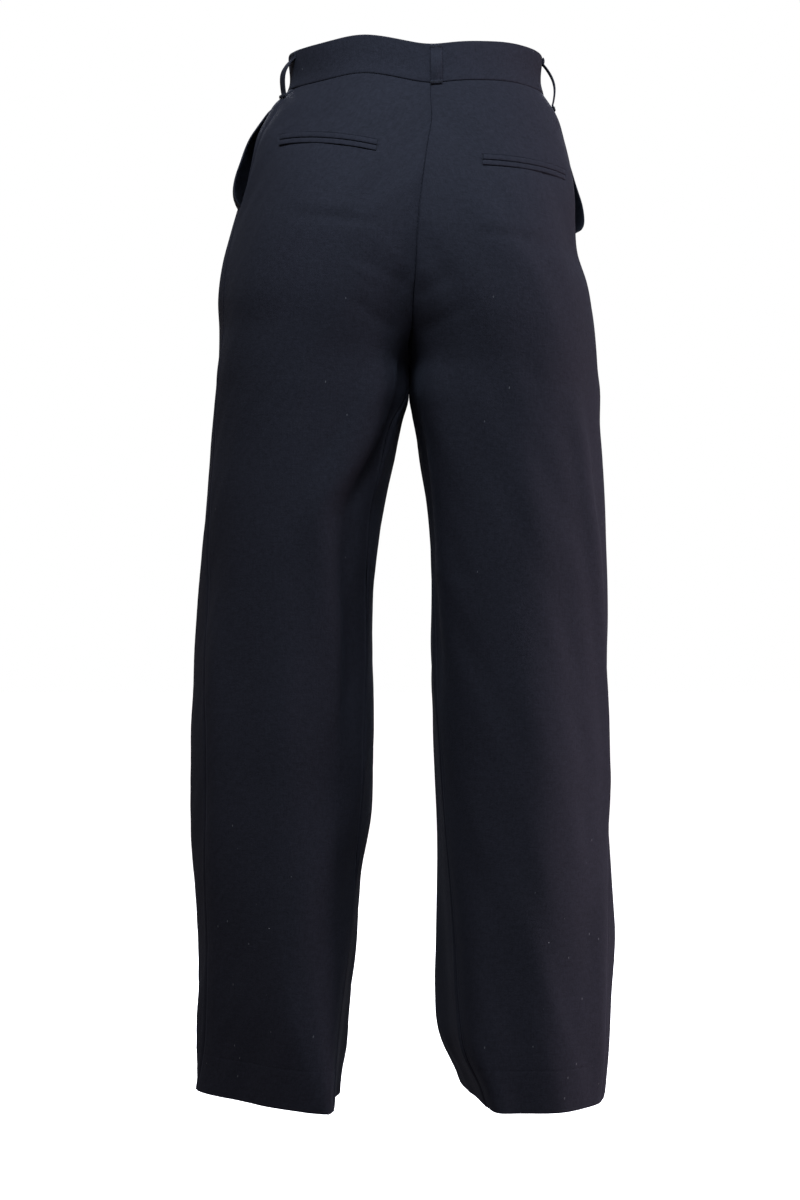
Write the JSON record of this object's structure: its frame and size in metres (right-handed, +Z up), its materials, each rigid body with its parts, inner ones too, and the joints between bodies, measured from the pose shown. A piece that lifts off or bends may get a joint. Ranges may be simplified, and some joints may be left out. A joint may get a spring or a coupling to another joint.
{
  "type": "straight-leg trousers",
  "caption": "Straight-leg trousers in plain dark suiting, hollow and as worn, with belt loops, double-welt back pockets and gaping side pockets",
  "frame": {"origin": "centre of the waist opening, halfway up the waistband, where the wearer holds the garment up", "axes": "+Z up towards the waist, +X towards the wearer's left, +Y out of the back; the legs hang along -Z"},
  "size_m": [0.4266, 0.2455, 1.0462],
  "materials": {
    "suiting": "fine matte twill suiting, near black with a blue cast",
    "zip_tape": "woven tape of a concealed zip",
    "button_resin": "satin black resin"
  },
  "bodies": {
    "root": {"back_left_hip": "suiting", "back_left_thigh": "suiting", "back_left_shin": "suiting", "back_right_hip": "suiting", "back_right_thigh": "suiting", "back_right_shin": "suiting", "front_left_hip": "suiting", "front_left_thigh": "suiting", "front_left_shin": "suiting", "front_right_hip": "suiting", "front_right_thigh": "suiting", "front_right_shin": "suiting", "facing_left": "suiting", "facing_right": "suiting", "waistband": "suiting", "fly_facing": "suiting", "welt_upper_left": "suiting", "welt_upper_right": "suiting", "welt_lower_left": "suiting", "welt_lower_right": "suiting", "loop_back": "suiting", "loop_left": "suiting", "loop_right": "suiting", "loop_front_left": "suiting", "loop_front_right": "suiting", "fly_zip": "zip_tape", "waist_button": "button_resin"}
  },
  "joints": []
}
